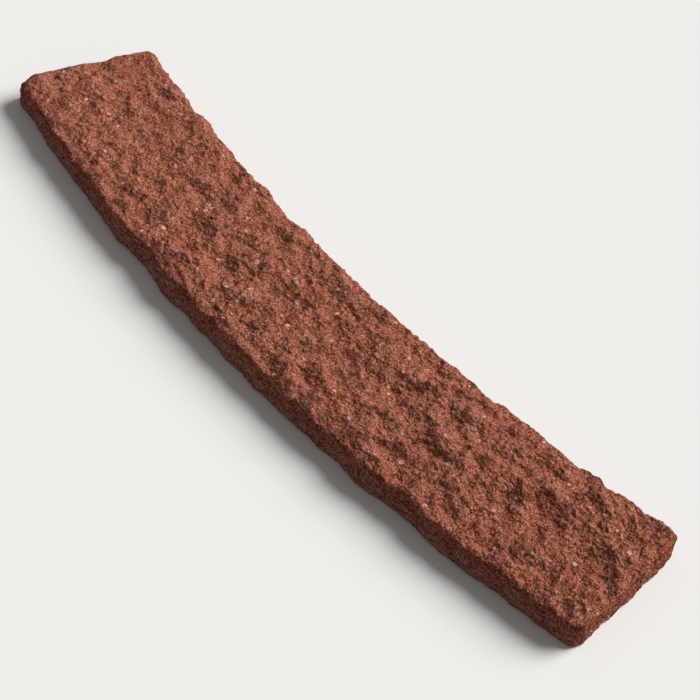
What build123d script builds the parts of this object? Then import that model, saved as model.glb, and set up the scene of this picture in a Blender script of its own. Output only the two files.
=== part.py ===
"""Curved concrete paving stone with a riven face, one of the equal stones of a paved ring."""

import os
from math import asin, cos, exp, pi, radians, sin

from build123d import *

# The ring, in millimetres
INNER_RADIUS = 2100.0  # concave edge, against the paving inside the ring
WIDTH = 150.0  # concave edge to convex edge
THICKNESS = 30.0  # bed to the mean level of the riven face
JOINT = 10.0  # gap between one stone and the next
STONES_PER_RING = 16

# Corners and arrises
CORNER_RADIUS = 10.0  # upright corners, seen in plan
FACE_ARRIS = 4.0  # round along the rim of the riven face
BED_ARRIS = 2.0  # narrow flat along the rim of the bed

# Hewn long edges, which wander off their arcs
EDGE_WANDER = 3.0  # most that an edge leaves its arc
EDGE_BAY = 130.0  # longest bay along an edge, over which the wander sets in from each end

# Each wave of a hewn edge is shorter and lower than the one before
WAVE_COUNT = 5
WAVE_LENGTH_SHARE = 0.78
WAVE_HEIGHT_SHARE = 0.86
WAVE_TURN = 137.5  # degrees from one wave's phase to the next
POINTS_PER_WAVE = 5  # on the shortest wave

# Riven face, with bell-shaped crests and hollows about its mean level
CREST_HEIGHT = 5.0  # at a share of 1
CREST_LENGTH = 40.0  # along the stone, where it has fallen to about a third of its height
CREST_WIDTH = 30.0  # across the stone, at the same height
POINTS_PER_CREST = 4  # over that width
# For each: shares of the half length, of the half width towards the concave edge, and of the crest height
CREST_SHARES = (
    (-0.95, 0.20, -0.7),
    (-0.86, -0.20, 0.4),
    (-0.84, 0.65, -0.4),
    (-0.73, 0.62, 0.5),
    (-0.74, 0.20, -0.4),
    (-0.65, -0.32, 0.7),
    (-0.57, 0.62, 0.8),
    (-0.54, -0.70, -0.4),
    (-0.50, 0.18, -0.4),
    (-0.43, 0.12, -0.6),
    (-0.43, -0.32, 0.5),
    (-0.36, 0.60, 0.5),
    (-0.32, -0.40, -0.5),
    (-0.23, -0.70, 0.7),
    (-0.22, 0.58, -0.4),
    (-0.18, -0.28, -0.6),
    (-0.15, 0.25, 0.7),
    (-0.06, -0.65, -0.6),
    (-0.04, 0.36, 0.5),
    (0.08, 0.60, -0.4),
    (0.09, -0.70, 0.5),
    (0.10, -0.30, -0.5),
    (0.21, 0.65, 0.7),
    (0.19, -0.05, -0.4),
    (0.25, -0.55, 0.9),
    (0.33, 0.15, -0.4),
    (0.41, -0.25, -0.5),
    (0.44, 0.42, 0.8),
    (0.44, -0.68, -0.8),
    (0.51, 0.02, 0.8),
    (0.57, -0.42, 0.4),
    (0.65, -0.60, -0.4),
    (0.66, 0.06, 0.7),
    (0.70, 0.65, -0.5),
    (0.75, 0.34, 0.9),
    (0.77, -0.10, -0.7),
    (0.80, -0.45, 0.5),
    (0.83, 0.62, 0.7),
    (0.87, -0.62, -0.6),
    (0.92, 0.48, -0.4),
    (0.92, 0.18, 0.8),
    (0.93, -0.22, -0.4),
)

# How far the cutting surface runs past the stone
OVERRUN = 20.0

OUTER_RADIUS = INNER_RADIUS + WIDTH
MIDDLE_RADIUS = INNER_RADIUS + WIDTH / 2
HALF_PITCH = pi / STONES_PER_RING
HALF_JOINT = JOINT / 2
WAVE_SUM = sum(WAVE_HEIGHT_SHARE**k for k in range(WAVE_COUNT))


def end_angle(radius):
    """Angle from the stone's middle to its end face, on a circle of the ring."""
    return HALF_PITCH - asin(HALF_JOINT / radius)


# The ring's centre lies on +Y, where it puts the origin in the middle of the bed
CENTRE_Y = (OUTER_RADIUS + INNER_RADIUS * cos(end_angle(INNER_RADIUS))) / 2


def on_ring(radius, angle):
    """Point of the bed plane on a circle of the ring, measured from the stone's middle."""
    return radius * sin(angle), CENTRE_Y - radius * cos(angle)


def edge_wander(distance, first_phase):
    """How far a hewn edge lies off its arc, at a distance along it."""
    waves = 0.0
    for k in range(WAVE_COUNT):
        length = EDGE_BAY * WAVE_LENGTH_SHARE**k
        phase = radians(WAVE_TURN) * (first_phase + k)
        waves += WAVE_HEIGHT_SHARE**k * sin(2 * pi * distance / length + phase)
    return EDGE_WANDER * waves / WAVE_SUM


def face_rise(radius, angle):
    """How far the riven face lies off its mean level, at a place of the ring."""
    along = angle * MIDDLE_RADIUS
    across = MIDDLE_RADIUS - radius
    half_length = end_angle(MIDDLE_RADIUS) * MIDDLE_RADIUS
    rise = 0.0
    for along_share, across_share, height_share in CREST_SHARES:
        off_along = 2 * (along - along_share * half_length) / CREST_LENGTH
        off_across = 2 * (across - across_share * WIDTH / 2) / CREST_WIDTH
        rise += height_share * CREST_HEIGHT * exp(-(off_along**2) - off_across**2)
    return rise


def hewn_edge(radius, first_phase):
    """Points of one long edge, from its left end to its right end."""
    span = end_angle(radius)
    shortest_bay = EDGE_BAY * WAVE_LENGTH_SHARE ** (WAVE_COUNT - 1)
    steps = round(POINTS_PER_WAVE * 2 * span * radius / shortest_bay)
    points = []
    for i in range(steps + 1):
        angle = span * (2 * i / steps - 1)
        from_end = radius * (span - abs(angle))
        wander = edge_wander(angle * radius, first_phase) * min(1.0, from_end / EDGE_BAY)
        points.append(on_ring(radius + wander, angle))
    return points


def riven_surface():
    """Surface of the crests and hollows, wider all round than the stone."""
    low, high = INNER_RADIUS - OVERRUN, OUTER_RADIUS + OVERRUN
    reach = HALF_PITCH + OVERRUN / INNER_RADIUS
    rows = round(POINTS_PER_CREST * (high - low) / CREST_WIDTH)
    columns = round(POINTS_PER_CREST * 2 * reach * OUTER_RADIUS / CREST_WIDTH)
    angles = [reach * (2 * i / columns - 1) for i in range(columns + 1)]
    grid = []
    for j in range(rows + 1):
        radius = low + (high - low) * j / rows
        grid.append([(*on_ring(radius, angle), THICKNESS + face_rise(radius, angle)) for angle in angles])
    return Face.make_surface_from_array_of_points(grid)


with BuildPart() as paving_stone:
    with BuildSketch():
        with BuildLine():
            concave = Spline(*hewn_edge(INNER_RADIUS, 0))
            convex = Spline(*hewn_edge(OUTER_RADIUS, WAVE_COUNT))
            Line(concave @ 0, convex @ 0)
            Line(concave @ 1, convex @ 1)
        make_face()
    extrude(amount=THICKNESS + CREST_HEIGHT + OVERRUN)
    fillet(paving_stone.edges().filter_by(Axis.Z), radius=CORNER_RADIUS)
    split(bisect_by=riven_surface(), keep=Keep.BOTTOM)
    fillet(paving_stone.faces().sort_by(Axis.Z)[-1].edges(), radius=FACE_ARRIS)
    chamfer(paving_stone.faces().sort_by(Axis.Z)[0].edges(), length=BED_ARRIS)

paving_stone.part.label = "paving_stone"
os.makedirs("parts", exist_ok=True)
export_step(paving_stone.part, "parts/paving_stone.step")
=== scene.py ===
"""Dresses the curved concrete paving stone: its riven face, hewn edges and sandy terracotta concrete."""

from math import asin, copysign, cos, exp, hypot, pi, radians, sin

import bmesh
import bpy
from bpy.props import FloatProperty, FloatVectorProperty, IntProperty, PointerProperty
from mathutils import Matrix, Vector, noise


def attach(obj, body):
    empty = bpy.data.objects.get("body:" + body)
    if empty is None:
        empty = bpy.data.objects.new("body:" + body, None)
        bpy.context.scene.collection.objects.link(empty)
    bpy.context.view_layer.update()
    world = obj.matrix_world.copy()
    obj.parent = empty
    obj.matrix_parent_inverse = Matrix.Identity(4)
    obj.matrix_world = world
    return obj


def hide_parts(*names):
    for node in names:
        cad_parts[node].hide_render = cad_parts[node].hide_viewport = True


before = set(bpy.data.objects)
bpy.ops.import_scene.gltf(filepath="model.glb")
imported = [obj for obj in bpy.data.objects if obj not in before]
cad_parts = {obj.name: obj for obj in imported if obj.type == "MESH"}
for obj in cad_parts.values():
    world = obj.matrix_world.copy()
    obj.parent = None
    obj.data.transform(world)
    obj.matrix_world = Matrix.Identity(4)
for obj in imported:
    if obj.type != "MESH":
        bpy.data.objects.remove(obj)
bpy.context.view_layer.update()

bl_info = {
    "name": "Curved Paving Stone",
    "version": (1, 0, 0),
    "blender": (4, 5, 0),
    "location": "View3D > Sidebar > Paving",
    "description": "Curved concrete paving stone with a riven face, and a plain stage for it",
    "category": "Add Mesh",
}

NODE = "paving_stone"
BODY = "root"
RIVEN = "riven"  # mesh attribute: 1 on the riven face, 0 on the sides and the bed
END = "end"  # mesh attribute: 1 on the two ends, 0 elsewhere


class StoneSizes(bpy.types.PropertyGroup):
    """Sizes of the stone, the same as those of the solid that it stands for."""

    inner_radius: FloatProperty(
        name="Inner Radius", description="Radius of the concave edge", default=2.1, unit="LENGTH")
    width: FloatProperty(
        name="Width", description="Concave edge to convex edge", default=0.15, unit="LENGTH")
    thickness: FloatProperty(
        name="Thickness", description="Bed to the mean level of the riven face", default=0.03,
        unit="LENGTH")
    joint: FloatProperty(
        name="Joint", description="Gap between one stone of the ring and the next", default=0.01,
        unit="LENGTH")
    stones_per_ring: IntProperty(
        name="Stones per Ring", description="Equal stones in a full ring", default=16, min=3)
    corner_radius: FloatProperty(
        name="Corner Radius", description="Round of the upright corners", default=0.01, unit="LENGTH")
    face_arris: FloatProperty(
        name="Face Arris", description="Mean round along the rim of the riven face", default=0.004,
        unit="LENGTH")
    bed_arris: FloatProperty(
        name="Bed Arris", description="Round along the rim of the bed", default=0.002, unit="LENGTH")
    mesh_step: FloatProperty(
        name="Mesh Step", description="Side of one square of the face's mesh", default=0.00134,
        unit="LENGTH")
    side_rings: IntProperty(
        name="Side Rings", description="Rings of the mesh down the sides", default=15, min=4)
    bed_panels: IntProperty(
        name="Bed Panels", description="Flat panels of the mesh under the bed", default=48, min=1)


class StoneRelief(bpy.types.PropertyGroup):
    """Heights and lengths of the relief, from the crests of the face down to the sand of the sides."""

    crest_height: FloatProperty(
        name="Crest Height", description="Height of a crest with a share of 1", default=0.005,
        unit="LENGTH")
    crest_length: FloatProperty(
        name="Crest Length", description="Length of a crest or hollow along the stone", default=0.04,
        unit="LENGTH")
    crest_width: FloatProperty(
        name="Crest Width", description="Width of a crest or hollow across the stone", default=0.03,
        unit="LENGTH")
    edge_wander: FloatProperty(
        name="Edge Wander", description="Most that a hewn edge leaves its arc", default=0.003,
        unit="LENGTH")
    edge_bay: FloatProperty(
        name="Edge Bay", description="Longest bay along a hewn edge", default=0.13, unit="LENGTH")
    lump_height: FloatProperty(
        name="Lump Height", description="Height of the lumps of the riven face", default=0.0046,
        unit="LENGTH")
    lump_length: FloatProperty(
        name="Lump Length", description="Distance from lump to lump", default=0.02, unit="LENGTH")
    grain_height: FloatProperty(
        name="Grain Height", description="Height of the coarse sand of the sides", default=0.0014,
        unit="LENGTH")
    grain_length: FloatProperty(
        name="Grain Length", description="Distance from grain to grain", default=0.0042, unit="LENGTH")
    hewn_height: FloatProperty(
        name="Hewn Height", description="Height of the lumps of the sides", default=0.0024, unit="LENGTH")
    chip_size: FloatProperty(
        name="Chip Size", description="Most that a chip widens the arris of the face", default=0.006,
        unit="LENGTH")
    chip_length: FloatProperty(
        name="Chip Length", description="Distance from chip to chip along the arris", default=0.018,
        unit="LENGTH")
    shoulder_fall: FloatProperty(
        name="Shoulder Fall", description="How far the face falls to its concave edge", default=0.0018,
        unit="LENGTH")
    shoulder_width: FloatProperty(
        name="Shoulder Width", description="Width of the falling strip along an edge", default=0.03,
        unit="LENGTH")
    worn_reach: FloatProperty(
        name="Worn Reach", description="How far the wear of a worn corner reaches", default=0.03,
        unit="LENGTH")


class StoneGrain(bpy.types.PropertyGroup):
    """Lengths in the pattern of the concrete, from its rolls down to its fine sand."""

    roll_length: FloatProperty(
        name="Roll Length", description="Distance from roll to roll of the face", default=0.06,
        unit="LENGTH")
    knob_length: FloatProperty(
        name="Knob Length", description="Distance from knob to knob of the face", default=0.026,
        unit="LENGTH")
    layer_length: FloatProperty(
        name="Layer Length", description="Length of a streak along the sides", default=0.014,
        unit="LENGTH")
    fleck_spacing: FloatProperty(
        name="Fleck Spacing", description="Distance between places for a pale fleck", default=0.0064,
        unit="LENGTH")
    clump_length: FloatProperty(
        name="Clump Length", description="Distance between clumps of sand", default=0.006, unit="LENGTH")
    grain_spacing: FloatProperty(
        name="Grain Spacing", description="Distance between coarse grains", default=0.0026, unit="LENGTH")
    fine_length: FloatProperty(
        name="Fine Length", description="Distance between fine grains", default=0.0014, unit="LENGTH")
    drift_length: FloatProperty(
        name="Drift Length", description="Distance over which the grains drift one way", default=0.003,
        unit="LENGTH")
    drift_reach: FloatProperty(
        name="Drift Reach", description="How far the drift carries the grains", default=0.0024,
        unit="LENGTH")
    bump_step: FloatProperty(
        name="Bump Step", description="Height of one step of the shaded relief", default=0.0025,
        unit="LENGTH")


class StoneColours(bpy.types.PropertyGroup):
    """Colours of the concrete, as linear values."""

    # Darkest colour of the tone: painted shade between the grains, in the hollows of the fine relief, on
    # the ends and near the top of the sides, besides darker grains at random
    deep: FloatVectorProperty(
        name="Deep", description="Deep colour of the gaps between the grains",
        default=(0.15, 0.027, 0.009), subtype="COLOR", size=3, min=0.0, max=1.0)
    clay: FloatVectorProperty(
        name="Clay", description="Main colour of the concrete", default=(0.3, 0.091, 0.05),
        subtype="COLOR", size=3, min=0.0, max=1.0)
    # Palest colour of the tone: pale worn grains, and painted light on the tops of the fine relief and at
    # the foot of the long sides
    dust: FloatVectorProperty(
        name="Dust", description="Pale colour of the worn grains", default=(0.43, 0.212, 0.158),
        subtype="COLOR", size=3, min=0.0, max=1.0)
    sand: FloatVectorProperty(
        name="Sand", description="Pale grains of sand", default=(0.62, 0.36, 0.28),
        subtype="COLOR", size=3, min=0.0, max=1.0)


class StageSettings(bpy.types.PropertyGroup):
    """Floor, light and camera."""

    floor_size: FloatProperty(
        name="Floor Size", description="Side of the floor", default=12.0, unit="LENGTH")
    floor_drop: FloatProperty(
        name="Floor Drop", description="Keeps the floor clear of the bed, which lies at the same level",
        default=0.0002, unit="LENGTH")
    floor_colour: FloatVectorProperty(
        name="Floor Colour", description="Colour of the floor", default=(0.78, 0.77, 0.75),
        subtype="COLOR", size=3, min=0.0, max=1.0)
    bounce_colour: FloatVectorProperty(
        name="Bounce Colour", description="Colour of the light that the floor throws back on the stone",
        default=(0.42, 0.42, 0.42), subtype="COLOR", size=3, min=0.0, max=1.0)
    sky_colour: FloatVectorProperty(
        name="Sky Colour", description="Colour of the even light", default=(1.0, 1.0, 1.0),
        subtype="COLOR", size=3, min=0.0, max=1.0)
    sky_strength: FloatProperty(
        name="Sky Strength", description="Even light from all round", default=0.22)
    key_strength: FloatProperty(
        name="Key Strength", description="Strength of the key lamp", default=4.7)
    key_spread: FloatProperty(
        name="Key Spread", description="How wide the key lamp looks from the stone",
        default=radians(40.0), subtype="ANGLE")
    key_bearing: FloatProperty(
        name="Key Bearing", description="Bearing of the key lamp, from +X towards +Y",
        default=radians(69.0), subtype="ANGLE")
    key_height: FloatProperty(
        name="Key Height", description="Height of the key lamp above the floor, as an angle",
        default=radians(36.0), subtype="ANGLE")
    view_bearing: FloatProperty(
        name="View Bearing", description="Bearing of the camera, from -Y towards +X",
        default=radians(46.33), subtype="ANGLE")
    view_height: FloatProperty(
        name="View Height", description="Height of the camera above the floor, as an angle",
        default=radians(43.7), subtype="ANGLE")
    view_roll: FloatProperty(
        name="View Roll", description="Turn of the camera about its own axis", default=radians(8.0),
        subtype="ANGLE")
    view_distance: FloatProperty(
        name="View Distance", description="Camera to the place it looks at", default=2.0308,
        unit="LENGTH")
    view_place: FloatVectorProperty(
        name="View Place", description="Place that the camera looks at", default=(0.0481, 0.0114, 0.0),
        subtype="TRANSLATION", size=3)
    lens: FloatProperty(
        name="Lens", description="Focal length on a sensor 36 mm wide", default=111.1, unit="CAMERA")


# Crests and hollows of the face, as the solid has them: shares of the half length, of the half width
# towards the concave edge, and of the crest height
CREST_SHARES = (
    (-0.95, 0.20, -0.7),
    (-0.86, -0.20, 0.4),
    (-0.84, 0.65, -0.4),
    (-0.73, 0.62, 0.5),
    (-0.74, 0.20, -0.4),
    (-0.65, -0.32, 0.7),
    (-0.57, 0.62, 0.8),
    (-0.54, -0.70, -0.4),
    (-0.50, 0.18, -0.4),
    (-0.43, 0.12, -0.6),
    (-0.43, -0.32, 0.5),
    (-0.36, 0.60, 0.5),
    (-0.32, -0.40, -0.5),
    (-0.23, -0.70, 0.7),
    (-0.22, 0.58, -0.4),
    (-0.18, -0.28, -0.6),
    (-0.15, 0.25, 0.7),
    (-0.06, -0.65, -0.6),
    (-0.04, 0.36, 0.5),
    (0.08, 0.60, -0.4),
    (0.09, -0.70, 0.5),
    (0.10, -0.30, -0.5),
    (0.21, 0.65, 0.7),
    (0.19, -0.05, -0.4),
    (0.25, -0.55, 0.9),
    (0.33, 0.15, -0.4),
    (0.41, -0.25, -0.5),
    (0.44, 0.42, 0.8),
    (0.44, -0.68, -0.8),
    (0.51, 0.02, 0.8),
    (0.57, -0.42, 0.4),
    (0.65, -0.60, -0.4),
    (0.66, 0.06, 0.7),
    (0.70, 0.65, -0.5),
    (0.75, 0.34, 0.9),
    (0.77, -0.10, -0.7),
    (0.80, -0.45, 0.5),
    (0.83, 0.62, 0.7),
    (0.87, -0.62, -0.6),
    (0.92, 0.48, -0.4),
    (0.92, 0.18, 0.8),
    (0.93, -0.22, -0.4),
)
CREST_REACH = 3.0  # where a crest has died away, in halves of its length or width

# Waves of the hewn edges, each shorter and lower than the one before
WAVE_COUNT = 5
WAVE_LENGTH_SHARE = 0.78
WAVE_HEIGHT_SHARE = 0.86
WAVE_TURN = radians(137.5)  # from one wave's phase to the next
WAVE_SUM = sum(WAVE_HEIGHT_SHARE**k for k in range(WAVE_COUNT))

# Lumps of the riven face, each scale shorter, lower and turned away from the one before
LUMP_SCALES = 5
LUMP_LENGTH_SHARE = 0.57
LUMP_HEIGHT_SHARE = 0.64
LUMP_TURN = Matrix.Rotation(radians(67.0), 3, Vector((0.3, 0.5, 0.8)))
PIT_SHARE = 0.5  # how deep the pits are, against the height of the lumps
ROUGHER_END = 0.2  # how much higher the lumps are at the right end than at mid-length
CALM_RIM = 0.5  # how much of the lumps is left at the rim
CALM_REACH = 0.5  # how far in the rim calms them, in widths of the shoulder

# Lumps and sand of the hewn sides
HEWN_SCALES = 4
SAND_SCALES = 2
SCALE_FADE = 0.8  # how fast the finer scales fade
SCALE_STEP = 2.0  # how much finer each scale is

# Rim of the riven face
SHARP_ARRIS = 0.7  # round where nothing is chipped, against the mean round
FULL_CHIP = 0.7  # noise at which a chip has its full size
FINE_CHIP_SIZE = 0.5  # the small chips among the large ones
FINE_CHIP_LENGTH = 0.4
CONVEX_CHIPS = 0.45  # size of the chips along the convex rim, against the concave one
END_CHIPS = 0.3  # and along the ends
CONVEX_WEAR = 1.3  # how much further the face falls to the convex edge than to the concave one

# Places in the noise where each kind of relief is read, so that none follows another
LUMPS_AT = Vector((11.3, 4.7, 2.9))
SIDES_AT = Vector((3.1, 17.9, 8.3))
SAND_AT = Vector((19.1, 6.1, 5.3))
CHIPS_AT = Vector((5.1, 3.3, 12.9))

# Mesh
RING_GROWTH = 1.25  # rings lie closer together near the riven face
SAME_LINE = 1e-6  # how near to a long edge of the bed a corner counts as on it, in metres
FACING_DOWN = -0.999  # upward share of the normal of the bed, which is shaded flat


def smooth_step(low, high, value):
    """0 below low, 1 above high, and a smooth rise between."""
    share = min(max((value - low) / (high - low), 0.0), 1.0)
    return share * share * (3.0 - 2.0 * share)


def lumpy(place):
    """Noise of several scales, each finer, lower and turned away from the one before."""
    total = 0.0
    for k in range(LUMP_SCALES):
        total += LUMP_HEIGHT_SHARE**k * noise.noise(place / LUMP_LENGTH_SHARE**k + LUMPS_AT)
        place = LUMP_TURN @ place
    return total


class StoneForm:
    """Carries each place of a straight block of the stone's size to the finished stone."""

    def __init__(self, sizes, relief):
        for group in (sizes, relief):
            for name in group.__annotations__:
                setattr(self, name, getattr(group, name))
        self.half_width = self.width / 2
        self.outer_radius = self.inner_radius + self.width
        self.middle_radius = self.inner_radius + self.half_width
        self.half_pitch = pi / self.stones_per_ring
        self.half_length = self.end_angle(self.middle_radius) * self.middle_radius
        inner_end = self.inner_radius * cos(self.end_angle(self.inner_radius))
        self.centre_y = (self.outer_radius + inner_end) / 2

    def end_angle(self, radius):
        """Angle from the stone's middle to its end face, on a circle of the ring."""
        return self.half_pitch - asin(self.joint / 2 / radius)

    def wander(self, distance, first_phase):
        """How far a hewn edge lies off its arc, at a distance along it."""
        waves = 0.0
        for k in range(WAVE_COUNT):
            length = self.edge_bay * WAVE_LENGTH_SHARE**k
            phase = WAVE_TURN * (first_phase + k)
            waves += WAVE_HEIGHT_SHARE**k * sin(2 * pi * distance / length + phase)
        return self.edge_wander * waves / WAVE_SUM

    def crests(self, along, across):
        """How far the riven face lies off its mean level, at a distance along and across the ring."""
        rise = 0.0
        for along_share, across_share, height_share in CREST_SHARES:
            off_along = 2 * (along - along_share * self.half_length) / self.crest_length
            off_across = 2 * (across - across_share * self.half_width) / self.crest_width
            if abs(off_along) < CREST_REACH and abs(off_across) < CREST_REACH:
                rise += height_share * exp(-(off_along**2) - off_across**2)
        return self.crest_height * rise

    def lumps(self, place, inward):
        """Height of the lumps at a place of the face, calmer near its rim."""
        height = lumpy(place / self.lump_length)
        height = self.lump_height * max(height, PIT_SHARE * height)
        rough = 1.0 + ROUGHER_END * place.x / self.half_length
        calm = smooth_step(0.0, CALM_REACH * self.shoulder_width, inward)
        return rough * height * (CALM_RIM + (1.0 - CALM_RIM) * calm)

    def shoulder(self, across):
        """How far the face has fallen towards its nearest long edge."""
        share = max(0.0, 1.0 - (self.half_width - abs(across)) / self.shoulder_width)
        wear = CONVEX_WEAR if across < 0.0 else 1.0
        return wear * self.shoulder_fall * share * share

    def hewn(self, place):
        """How far the rough sides stand out at a place."""
        lumps = noise.fractal(place / self.lump_length + SIDES_AT, SCALE_FADE, SCALE_STEP, HEWN_SCALES)
        sand = noise.fractal(place / self.grain_length + SAND_AT, SCALE_FADE, SCALE_STEP, SAND_SCALES)
        return self.hewn_height * lumps + self.grain_height * sand

    def chipped_arris(self, rim, end):
        """Round of the rim of the riven face, wider where it is chipped and at two worn corners."""
        chip = noise.noise(rim / self.chip_length + CHIPS_AT)
        chip += FINE_CHIP_SIZE * noise.noise(rim / (FINE_CHIP_LENGTH * self.chip_length))
        chip_size = self.chip_size * (CONVEX_CHIPS if rim.y < 0.0 else 1.0)
        chip_size *= 1.0 + (END_CHIPS - 1.0) * end
        arris = SHARP_ARRIS * self.face_arris + chip_size * smooth_step(0.0, FULL_CHIP, chip)
        if rim.x * rim.y < 0.0:
            return arris
        from_worn = hypot(abs(rim.x) - self.half_length, abs(rim.y) - self.half_width)
        wear = 1.0 - smooth_step(0.0, self.worn_reach, from_worn)
        return arris + wear * (self.corner_radius - arris)

    def plan(self, along, across):
        """A place with the plan's corners rounded, its distance from the rim, and the way out."""
        past_end = abs(along) - (self.half_length - self.corner_radius)
        past_side = abs(across) - (self.half_width - self.corner_radius)
        inward = self.corner_radius - max(past_end, past_side)
        end_sign, side_sign = copysign(1.0, along), copysign(1.0, across)
        if past_end > 0.0 and past_side > 0.0:
            reach = hypot(past_end, past_side)
            pull = 1.0 - max(past_end, past_side) / reach
            along -= end_sign * past_end * pull
            across -= side_sign * past_side * pull
            return along, across, inward, end_sign * past_end / reach, side_sign * past_side / reach
        if past_end > past_side:
            return along, across, inward, end_sign, 0.0
        return along, across, inward, 0.0, side_sign

    def rounded(self, inward, level, arris):
        """A place of the section pulled onto the round of its rim, and how far it faces out and up."""
        in_side, in_level = arris - inward, arris - level
        if in_side > 0.0 and in_level > 0.0:
            reach = hypot(in_side, in_level)
            squeeze = max(in_side, in_level) / reach
            return arris - in_side * squeeze, arris - in_level * squeeze, in_side / reach, in_level / reach
        if level > 0.0:
            return inward, level, 1.0, 0.0
        return inward, level, 0.0, 1.0

    def bend(self, along, across):
        """Place in plan with the wander of the hewn edges, and its radius and angle on the ring."""
        share = along / self.half_length
        outer_share = (self.half_width - across) / self.width
        fade = min(1.0, (self.half_length - abs(along)) / self.edge_bay)
        inner_way = share * self.end_angle(self.inner_radius) * self.inner_radius
        outer_way = share * self.end_angle(self.outer_radius) * self.outer_radius
        inner_wander = self.wander(inner_way, 0) * (1.0 - outer_share)
        outer_wander = self.wander(outer_way, WAVE_COUNT) * outer_share
        radius = self.middle_radius - across + fade * (inner_wander + outer_wander)
        angle = share * self.end_angle(radius)
        return radius * sin(angle), self.centre_y - radius * cos(angle), radius, angle

    def place(self, along, across, height):
        """Where a place of the block lies on the stone, and how much of the face and of an end it is."""
        along, across, inward, out_along, out_across = self.plan(along, across)
        from_bed = height < self.thickness / 2
        level = height if from_bed else self.thickness - height
        arris = self.bed_arris
        if not from_bed and inward < self.corner_radius:
            rim = Vector((along + out_along * inward, across + out_across * inward, self.thickness))
            arris = self.chipped_arris(rim, abs(out_along))
        pulled, level, out, up = self.rounded(inward, level, arris)
        along -= out_along * (pulled - inward)
        across -= out_across * (pulled - inward)
        height = level if from_bed else self.thickness - level
        x, y, radius, angle = self.bend(along, across)
        rise = self.crests(angle * self.middle_radius, self.middle_radius - radius)
        rise += self.lumps(Vector((x, y, self.thickness)), pulled) - self.shoulder(across)
        stone = Vector((x, y, height * (1.0 + rise / self.thickness)))
        if from_bed:
            up = 0.0
        if out > 0.0:
            outwards = Vector((out_along * cos(angle) - out_across * sin(angle),
                               out_along * sin(angle) + out_across * cos(angle), 0.0))
            stone += outwards * (out * self.hewn(Vector((x, y, height))))
        return stone, up, abs(out_along) * (1.0 - up)


def straight_block(form):
    """A bmesh of the straight block: fine grid on the face, rings down the sides, panels on the bed."""
    columns = round(2 * form.half_length / form.mesh_step)
    rows = round(2 * form.half_width / form.mesh_step)
    block = bmesh.new()
    bmesh.ops.create_grid(block, x_segments=columns, y_segments=rows, size=1.0)
    bmesh.ops.scale(block, vec=(form.half_length, form.half_width, 1.0), verts=block.verts)
    bmesh.ops.translate(block, vec=(0.0, 0.0, form.thickness), verts=block.verts)
    rim = [edge for edge in block.edges if edge.is_boundary]
    depths = [form.thickness * (k / form.side_rings)**RING_GROWTH for k in range(form.side_rings + 1)]
    for upper, lower in zip(depths, depths[1:]):
        rim = extruded(block, rim)
        bmesh.ops.translate(block, vec=(0.0, 0.0, upper - lower), verts=corners_of(rim))
    rim = extruded(block, rim)
    bed_scale = (1.0 - form.bed_arris / form.half_length, 1.0 - form.bed_arris / form.half_width, 1.0)
    bmesh.ops.scale(block, vec=bed_scale, verts=corners_of(rim))
    bmesh.ops.edgeloop_fill(block, edges=rim)
    cut_bed(block, corners_of(rim), columns // form.bed_panels)
    return block


def cut_bed(block, corners, stride):
    """Cuts the bed into panels, from one long edge straight across to the other."""
    by_edge = sorted(corners, key=lambda corner: (corner.co.y > 0, corner.co.x))
    concave, convex = (
        [corner for corner in by_edge if abs(corner.co.y - level) < SAME_LINE]
        for level in (by_edge[-1].co.y, by_edge[0].co.y))
    for pair in list(zip(concave, convex))[stride:-stride:stride]:
        bmesh.ops.connect_verts(block, verts=pair)


def extruded(block, edges):
    """Extrudes edges on the spot and returns the new ones."""
    made = bmesh.ops.extrude_edge_only(block, edges=edges)["geom"]
    return [part for part in made if isinstance(part, bmesh.types.BMEdge) and part.is_boundary]


def corners_of(edges):
    """The vertices of some edges, each once."""
    return list({corner for edge in edges for corner in edge.verts})


class Value:
    """A socket of a material, on which arithmetic adds Math nodes."""

    def __init__(self, finish, socket):
        self.finish = finish
        self.socket = socket

    def math(self, operation, *operands):
        """A Math node on some values."""
        return self.finish.node("ShaderNodeMath", {"operation": operation}, dict(enumerate(operands)))

    def __add__(self, other):
        return self.math("ADD", self, other)

    def __radd__(self, other):
        return self.math("ADD", other, self)

    def __sub__(self, other):
        return self.math("SUBTRACT", self, other)

    def __rsub__(self, other):
        return self.math("SUBTRACT", other, self)

    def __mul__(self, other):
        return self.math("MULTIPLY", self, other)

    def __rmul__(self, other):
        return self.math("MULTIPLY", other, self)

    def rise(self, low, high, kind="SMOOTHSTEP"):
        """0 below low, 1 above high, and a smooth or even rise between."""
        return self.finish.node(
            "ShaderNodeMapRange", {"interpolation_type": kind},
            {"Value": self, "From Min": low, "From Max": high})

    def sibling(self, output):
        """Another output of the same node."""
        return Value(self.finish, self.socket.node.outputs[output])


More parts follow.
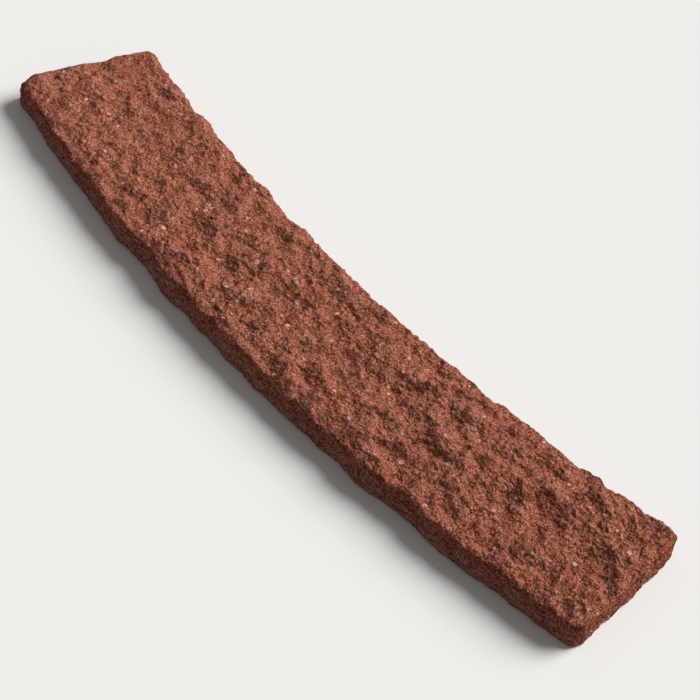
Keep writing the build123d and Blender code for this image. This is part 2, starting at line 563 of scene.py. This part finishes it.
class Finish:
    """A new material, made node by node."""

    def __init__(self, name):
        self.material = bpy.data.materials.new(name)
        self.material.use_nodes = True
        self.tree = self.material.node_tree
        self.shader = self.tree.nodes["Principled BSDF"]
        self.place = self.node("ShaderNodeTexCoord", output="Object")

    def node(self, kind, settings=None, sockets=None, output=0):
        """A node of a kind, with its settings made first and then its sockets set or linked."""
        made = self.tree.nodes.new(kind)
        for name, setting in (settings or {}).items():
            setattr(made, name, setting)
        for name, value in (sockets or {}).items():
            self.feed(made.inputs[name], value)
        return Value(self, made.outputs[output])

    def feed(self, socket, value):
        """Links a value to a socket, or sets the socket to a plain number or colour."""
        if isinstance(value, Value):
            self.tree.links.new(value.socket, socket)
        else:
            socket.default_value = value

    def shade(self, **sockets):
        """Feeds sockets of the shader, with underscores for the spaces in their names."""
        for name, value in sockets.items():
            self.feed(self.shader.inputs[name.replace("_", " ")], value)

    def attribute(self, name):
        """A value that the mesh carries."""
        return self.node("ShaderNodeAttribute", {"attribute_name": name}, output="Fac")

    def noise(self, length, detail, roughness, place=None):
        """Noise about zero, whose lumps are about a length apart."""
        return self.node("ShaderNodeTexNoise", {}, {
            "Vector": place or self.place, "Scale": 1.0 / length,
            "Detail": detail, "Roughness": roughness}) - 0.5

    def mix(self, share, first, second):
        """A colour between two colours."""
        pair = [value if isinstance(value, Value) else (*value, 1.0) for value in (first, second)]
        return self.node("ShaderNodeMix", {"data_type": "RGBA"}, {0: share, 6: pair[0], 7: pair[1]}, 2)

    def shifted(self, length, reach):
        """The place, shifted this way and that by noise."""
        drift = self.node("ShaderNodeTexNoise", {}, {"Vector": self.place, "Scale": 1.0 / length}, "Color")
        centred = self.vector("SUBTRACT", {0: drift, 1: (0.5, 0.5, 0.5)})
        scaled = self.vector("SCALE", {0: centred, "Scale": reach})
        return self.vector("ADD", {0: self.place, 1: scaled})

    def vector(self, operation, sockets):
        """A Vector Math node."""
        return self.node("ShaderNodeVectorMath", {"operation": operation}, sockets)

    def cells(self, length, place):
        """Distance to the middle of the nearest scattered cell, and two chance values of that cell."""
        distance = self.node(
            "ShaderNodeTexVoronoi", {}, {"Vector": place, "Scale": 1.0 / length}, "Distance")
        chance = self.node("ShaderNodeSeparateColor", {}, {"Color": distance.sibling("Color")})
        return distance, chance, chance.sibling("Green")


# Tone of the concrete: deep at the lowest, clay at 0 and dust at the highest
LOWEST_TONE = -0.5
HIGHEST_TONE = 0.45
MEAN_TONE = 0.075
PAINTED_BOUNCE_TONE = 0.42  # painted bounce light: the long sides paler at their foot
PAINTED_BOUNCE_FADE = 24.0  # how fast that fades, for each metre of height, turning to painted shade near the top of the sides
# Painted shade: the two ends darker than the rest of the sides
PAINTED_END_SHADE = -0.2

# How far each kind of grain changes the tone
# Fines and knobs also raise the shaded relief, so besides random tone they paint shade in its hollows and
# light on its tops
FINE_TONE = 3.1
KNOB_TONE = 0.25
GRAIN_TONE = 0.12
# painted shade between the grains
GAP_SHADE = 0.34
LAYER_TONE = 2.4
SIDE_CONTRAST = 1.6  # how much stronger they are on the sides than on the face

# Grains, by distance from their middle and by chance
GAP_SHADE_RISE = (0.4, 0.8)
PALE_GRAIN_RISE = (0.9, 0.96)
PALE_GRAIN_SHARE = 0.15
FLECK_RISE = (0.87, 0.89)
FLECK_RIM = (0.06, 0.2)
FLECK_GROWTH = 0.26  # how much larger the largest flecks are
FLECK_SHARE = 0.75
LAYER_SQUEEZE = (1.0, 1.0, 4.5)  # streaks of the sides run level
DULLNESS = 0.97
FLECK_GLOSS = 0.35
SPECULAR = 0.05

# Shaded relief, in bump steps
MEAN_RELIEF = 0.8
FINE_RELIEF = 0.5
CLUMP_RELIEF = 1.1
GRAIN_RELIEF = 0.35
FLECK_RELIEF = 0.1
KNOB_RELIEF = 9.5
ROLL_RELIEF = 5.0
LAYER_RELIEF = 0.8
SIDE_RELIEF = 0.7  # how much of it the sides have
ROUGHENING = 0.8  # how much it grows towards +X, for each metre


def sandy_concrete(grain, colours):
    """Terracotta concrete: coarse sand in clay-coloured cement, with painted shade between the grains, and
    pale grains.
    """
    finish = Finish("sandy_concrete")
    riven = finish.attribute(RIVEN)
    side = 1.0 - riven
    end = finish.attribute(END)
    along = finish.node("ShaderNodeSeparateXYZ", {}, {"Vector": finish.place})
    height = along.sibling("Z")
    layered = finish.node("ShaderNodeMapping", {}, {"Vector": finish.place, "Scale": LAYER_SQUEEZE})
    layers = finish.noise(grain.layer_length, detail=3.0, roughness=0.6, place=layered)
    rolls = finish.noise(grain.roll_length, detail=1.0, roughness=0.5)
    knobs = finish.noise(grain.knob_length, detail=3.0, roughness=0.55)
    clumps = finish.noise(grain.clump_length, detail=3.0, roughness=0.6)
    fines = finish.noise(grain.fine_length, detail=2.0, roughness=0.65)
    uneven = finish.shifted(grain.drift_length, grain.drift_reach)
    from_grain, grain_chance, grain_size = finish.cells(grain.grain_spacing, uneven)
    from_fleck, fleck_chance, fleck_size = finish.cells(grain.fleck_spacing, uneven)
    # Painted shade between the grains, where the shaded relief is low
    shaded_gaps = from_grain.rise(*GAP_SHADE_RISE)
    off_fleck = (from_fleck - fleck_size * FLECK_GROWTH).rise(*FLECK_RIM)
    flecks = riven * fleck_chance.rise(*FLECK_RISE) * (1.0 - off_fleck)

    # Tone follows the fine relief: painted shade in its hollows, painted light on its tops, with random
    # grain tone
    tone = fines * FINE_TONE + knobs * KNOB_TONE + (grain_chance - 0.5) * GRAIN_TONE
    tone = (tone - shaded_gaps * GAP_SHADE + MEAN_TONE) * (SIDE_CONTRAST - riven * (SIDE_CONTRAST - 1.0))
    # Painted light and shade on the sides: paler at the foot, darker near the top and on the two ends
    painted_side_shading = (PAINTED_BOUNCE_TONE - height * PAINTED_BOUNCE_FADE) * (1.0 - end) + end * PAINTED_END_SHADE
    tone = tone + side * (layers * LAYER_TONE + painted_side_shading)
    colour = finish.mix(tone.rise(LOWEST_TONE, 0.0, "LINEAR"), colours.deep, colours.clay)
    colour = finish.mix(tone.rise(0.0, HIGHEST_TONE, "LINEAR"), colour, colours.dust)
    pale_grains = grain_size.rise(*PALE_GRAIN_RISE) * riven
    colour = finish.mix(pale_grains * PALE_GRAIN_SHARE, colour, colours.sand)
    colour = finish.mix(flecks * FLECK_SHARE, colour, colours.sand)

    relief = fines * FINE_RELIEF + clumps * CLUMP_RELIEF + MEAN_RELIEF
    relief = relief - from_grain * GRAIN_RELIEF + flecks * FLECK_RELIEF
    relief = relief + (knobs * KNOB_RELIEF + rolls * ROLL_RELIEF) * riven
    relief = relief * (along * ROUGHENING + 1.0) * (SIDE_RELIEF + riven * (1.0 - SIDE_RELIEF))
    relief = relief + layers * side * LAYER_RELIEF
    bump = finish.node("ShaderNodeBump", {}, {
        "Strength": 1.0, "Distance": grain.bump_step, "Height": relief})
    finish.shade(
        Base_Color=colour, Roughness=DULLNESS - flecks * FLECK_GLOSS,
        Specular_IOR_Level=SPECULAR, Normal=bump)
    return finish.material


class PAVING_OT_stone(bpy.types.Operator):
    """Builds the paving stone from a straight block, bent onto its ring and given its relief"""

    bl_idname = "paving.stone"
    bl_label = "Build Stone"

    def execute(self, context):
        scene = context.scene
        form = StoneForm(scene.stone_sizes, scene.stone_relief)
        block = straight_block(form)
        if not all(edge.is_manifold for edge in block.edges):
            raise RuntimeError("The stone's mesh is not closed")
        layers = [block.verts.layers.float.new(name) for name in (RIVEN, END)]
        for corner in block.verts:
            corner.co, *shares = form.place(*corner.co)
            for layer, share in zip(layers, shares):
                corner[layer] = share
        bmesh.ops.recalc_face_normals(block, faces=block.faces)
        for face in block.faces:
            face.smooth = face.normal.z > FACING_DOWN
        mesh = bpy.data.meshes.new("riven_paving_stone")
        block.to_mesh(mesh)
        block.free()
        stone = bpy.data.objects.new("riven_paving_stone", mesh)
        scene.collection.objects.link(stone)
        mesh.materials.append(sandy_concrete(scene.stone_grain, scene.stone_colours))
        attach(stone, BODY)
        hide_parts(NODE)
        return {"FINISHED"}


FLOOR_DULLNESS = 0.9
SEEING_RAYS = ("Is Camera Ray", "Is Glossy Ray", "Is Transmission Ray")


def bearing_vector(bearing, height):
    """Unit vector at a bearing from +X towards +Y, and at a height above the floor."""
    return Vector((cos(bearing) * cos(height), sin(bearing) * cos(height), sin(height)))


class PAVING_OT_stage(bpy.types.Operator):
    """Lays the floor and sets the light and the camera"""

    bl_idname = "paving.stage"
    bl_label = "Set Stage"

    def execute(self, context):
        scene = context.scene
        stage = scene.stone_stage
        self.lay_floor(scene, stage)
        self.light(scene, stage)
        self.place_camera(scene, stage)
        scene.view_settings.view_transform = "Standard"
        return {"FINISHED"}

    def lay_floor(self, scene, stage):
        """A plain pale floor, which throws less light back on the stone than its colour would."""
        finish = Finish("pale_floor")
        seen = sum(finish.node("ShaderNodeLightPath", output=ray) for ray in SEEING_RAYS)
        finish.shade(
            Base_Color=finish.mix(seen, stage.bounce_colour, stage.floor_colour), Roughness=FLOOR_DULLNESS)
        sheet = bmesh.new()
        bmesh.ops.create_grid(sheet, x_segments=1, y_segments=1, size=stage.floor_size / 2)
        mesh = bpy.data.meshes.new("floor")
        sheet.to_mesh(mesh)
        sheet.free()
        mesh.materials.append(finish.material)
        floor = bpy.data.objects.new("floor", mesh)
        floor.location.z = -stage.floor_drop
        scene.collection.objects.link(floor)

    def light(self, scene, stage):
        """One soft key lamp and even light from all round."""
        world = bpy.data.worlds.new("studio")
        world.use_nodes = True
        background = world.node_tree.nodes["Background"]
        background.inputs["Strength"].default_value = stage.sky_strength
        background.inputs["Color"].default_value = (*stage.sky_colour, 1.0)
        scene.world = world
        lamp = bpy.data.lights.new("key", "SUN")
        lamp.angle = stage.key_spread
        lamp.energy = stage.key_strength
        key = bpy.data.objects.new("key", lamp)
        towards = bearing_vector(stage.key_bearing, stage.key_height)
        key.location = towards
        key.rotation_euler = towards.to_track_quat("Z", "Y").to_euler()
        scene.collection.objects.link(key)

    def place_camera(self, scene, stage):
        """The camera, turned about its own axis as well."""
        camera = bpy.data.objects.new("camera", bpy.data.cameras.new("camera"))
        camera.data.lens = stage.lens
        back = bearing_vector(stage.view_bearing - pi / 2, stage.view_height)
        right = Vector((cos(stage.view_bearing), sin(stage.view_bearing), 0.0))
        turn = Matrix((right, back.cross(right), back)).transposed().to_4x4()
        turn = turn @ Matrix.Rotation(stage.view_roll, 4, "Z")
        place = Vector(stage.view_place) + back * stage.view_distance
        camera.matrix_world = Matrix.Translation(place) @ turn
        scene.collection.objects.link(camera)
        scene.camera = camera


class PAVING_PT_sidebar(bpy.types.Panel):
    """Settings of the stone and its stage"""

    bl_idname = "PAVING_PT_sidebar"
    bl_label = "Curved Paving Stone"
    bl_space_type = "VIEW_3D"
    bl_region_type = "UI"
    bl_category = "Paving"

    def draw(self, context):
        for group_name, group in GROUPS.items():
            column = self.layout.column()
            for name in group.__annotations__:
                column.prop(getattr(context.scene, group_name), name)
        for operator in (PAVING_OT_stone, PAVING_OT_stage):
            self.layout.operator(operator.bl_idname)


GROUPS = {
    "stone_sizes": StoneSizes,
    "stone_relief": StoneRelief,
    "stone_grain": StoneGrain,
    "stone_colours": StoneColours,
    "stone_stage": StageSettings,
}
CLASSES = (*GROUPS.values(), PAVING_OT_stone, PAVING_OT_stage, PAVING_PT_sidebar)


def register():
    """Registers the classes and gives each scene its settings."""
    for cls in CLASSES:
        bpy.utils.register_class(cls)
    for name, group in GROUPS.items():
        setattr(bpy.types.Scene, name, PointerProperty(type=group))


def unregister():
    """Takes the settings and the classes away again."""
    for name in GROUPS:
        delattr(bpy.types.Scene, name)
    for cls in reversed(CLASSES):
        bpy.utils.unregister_class(cls)


def main():
    """Builds the stone and its stage."""
    register()
    bpy.ops.paving.stone()
    bpy.ops.paving.stage()


if __name__ == "__main__":
    main()
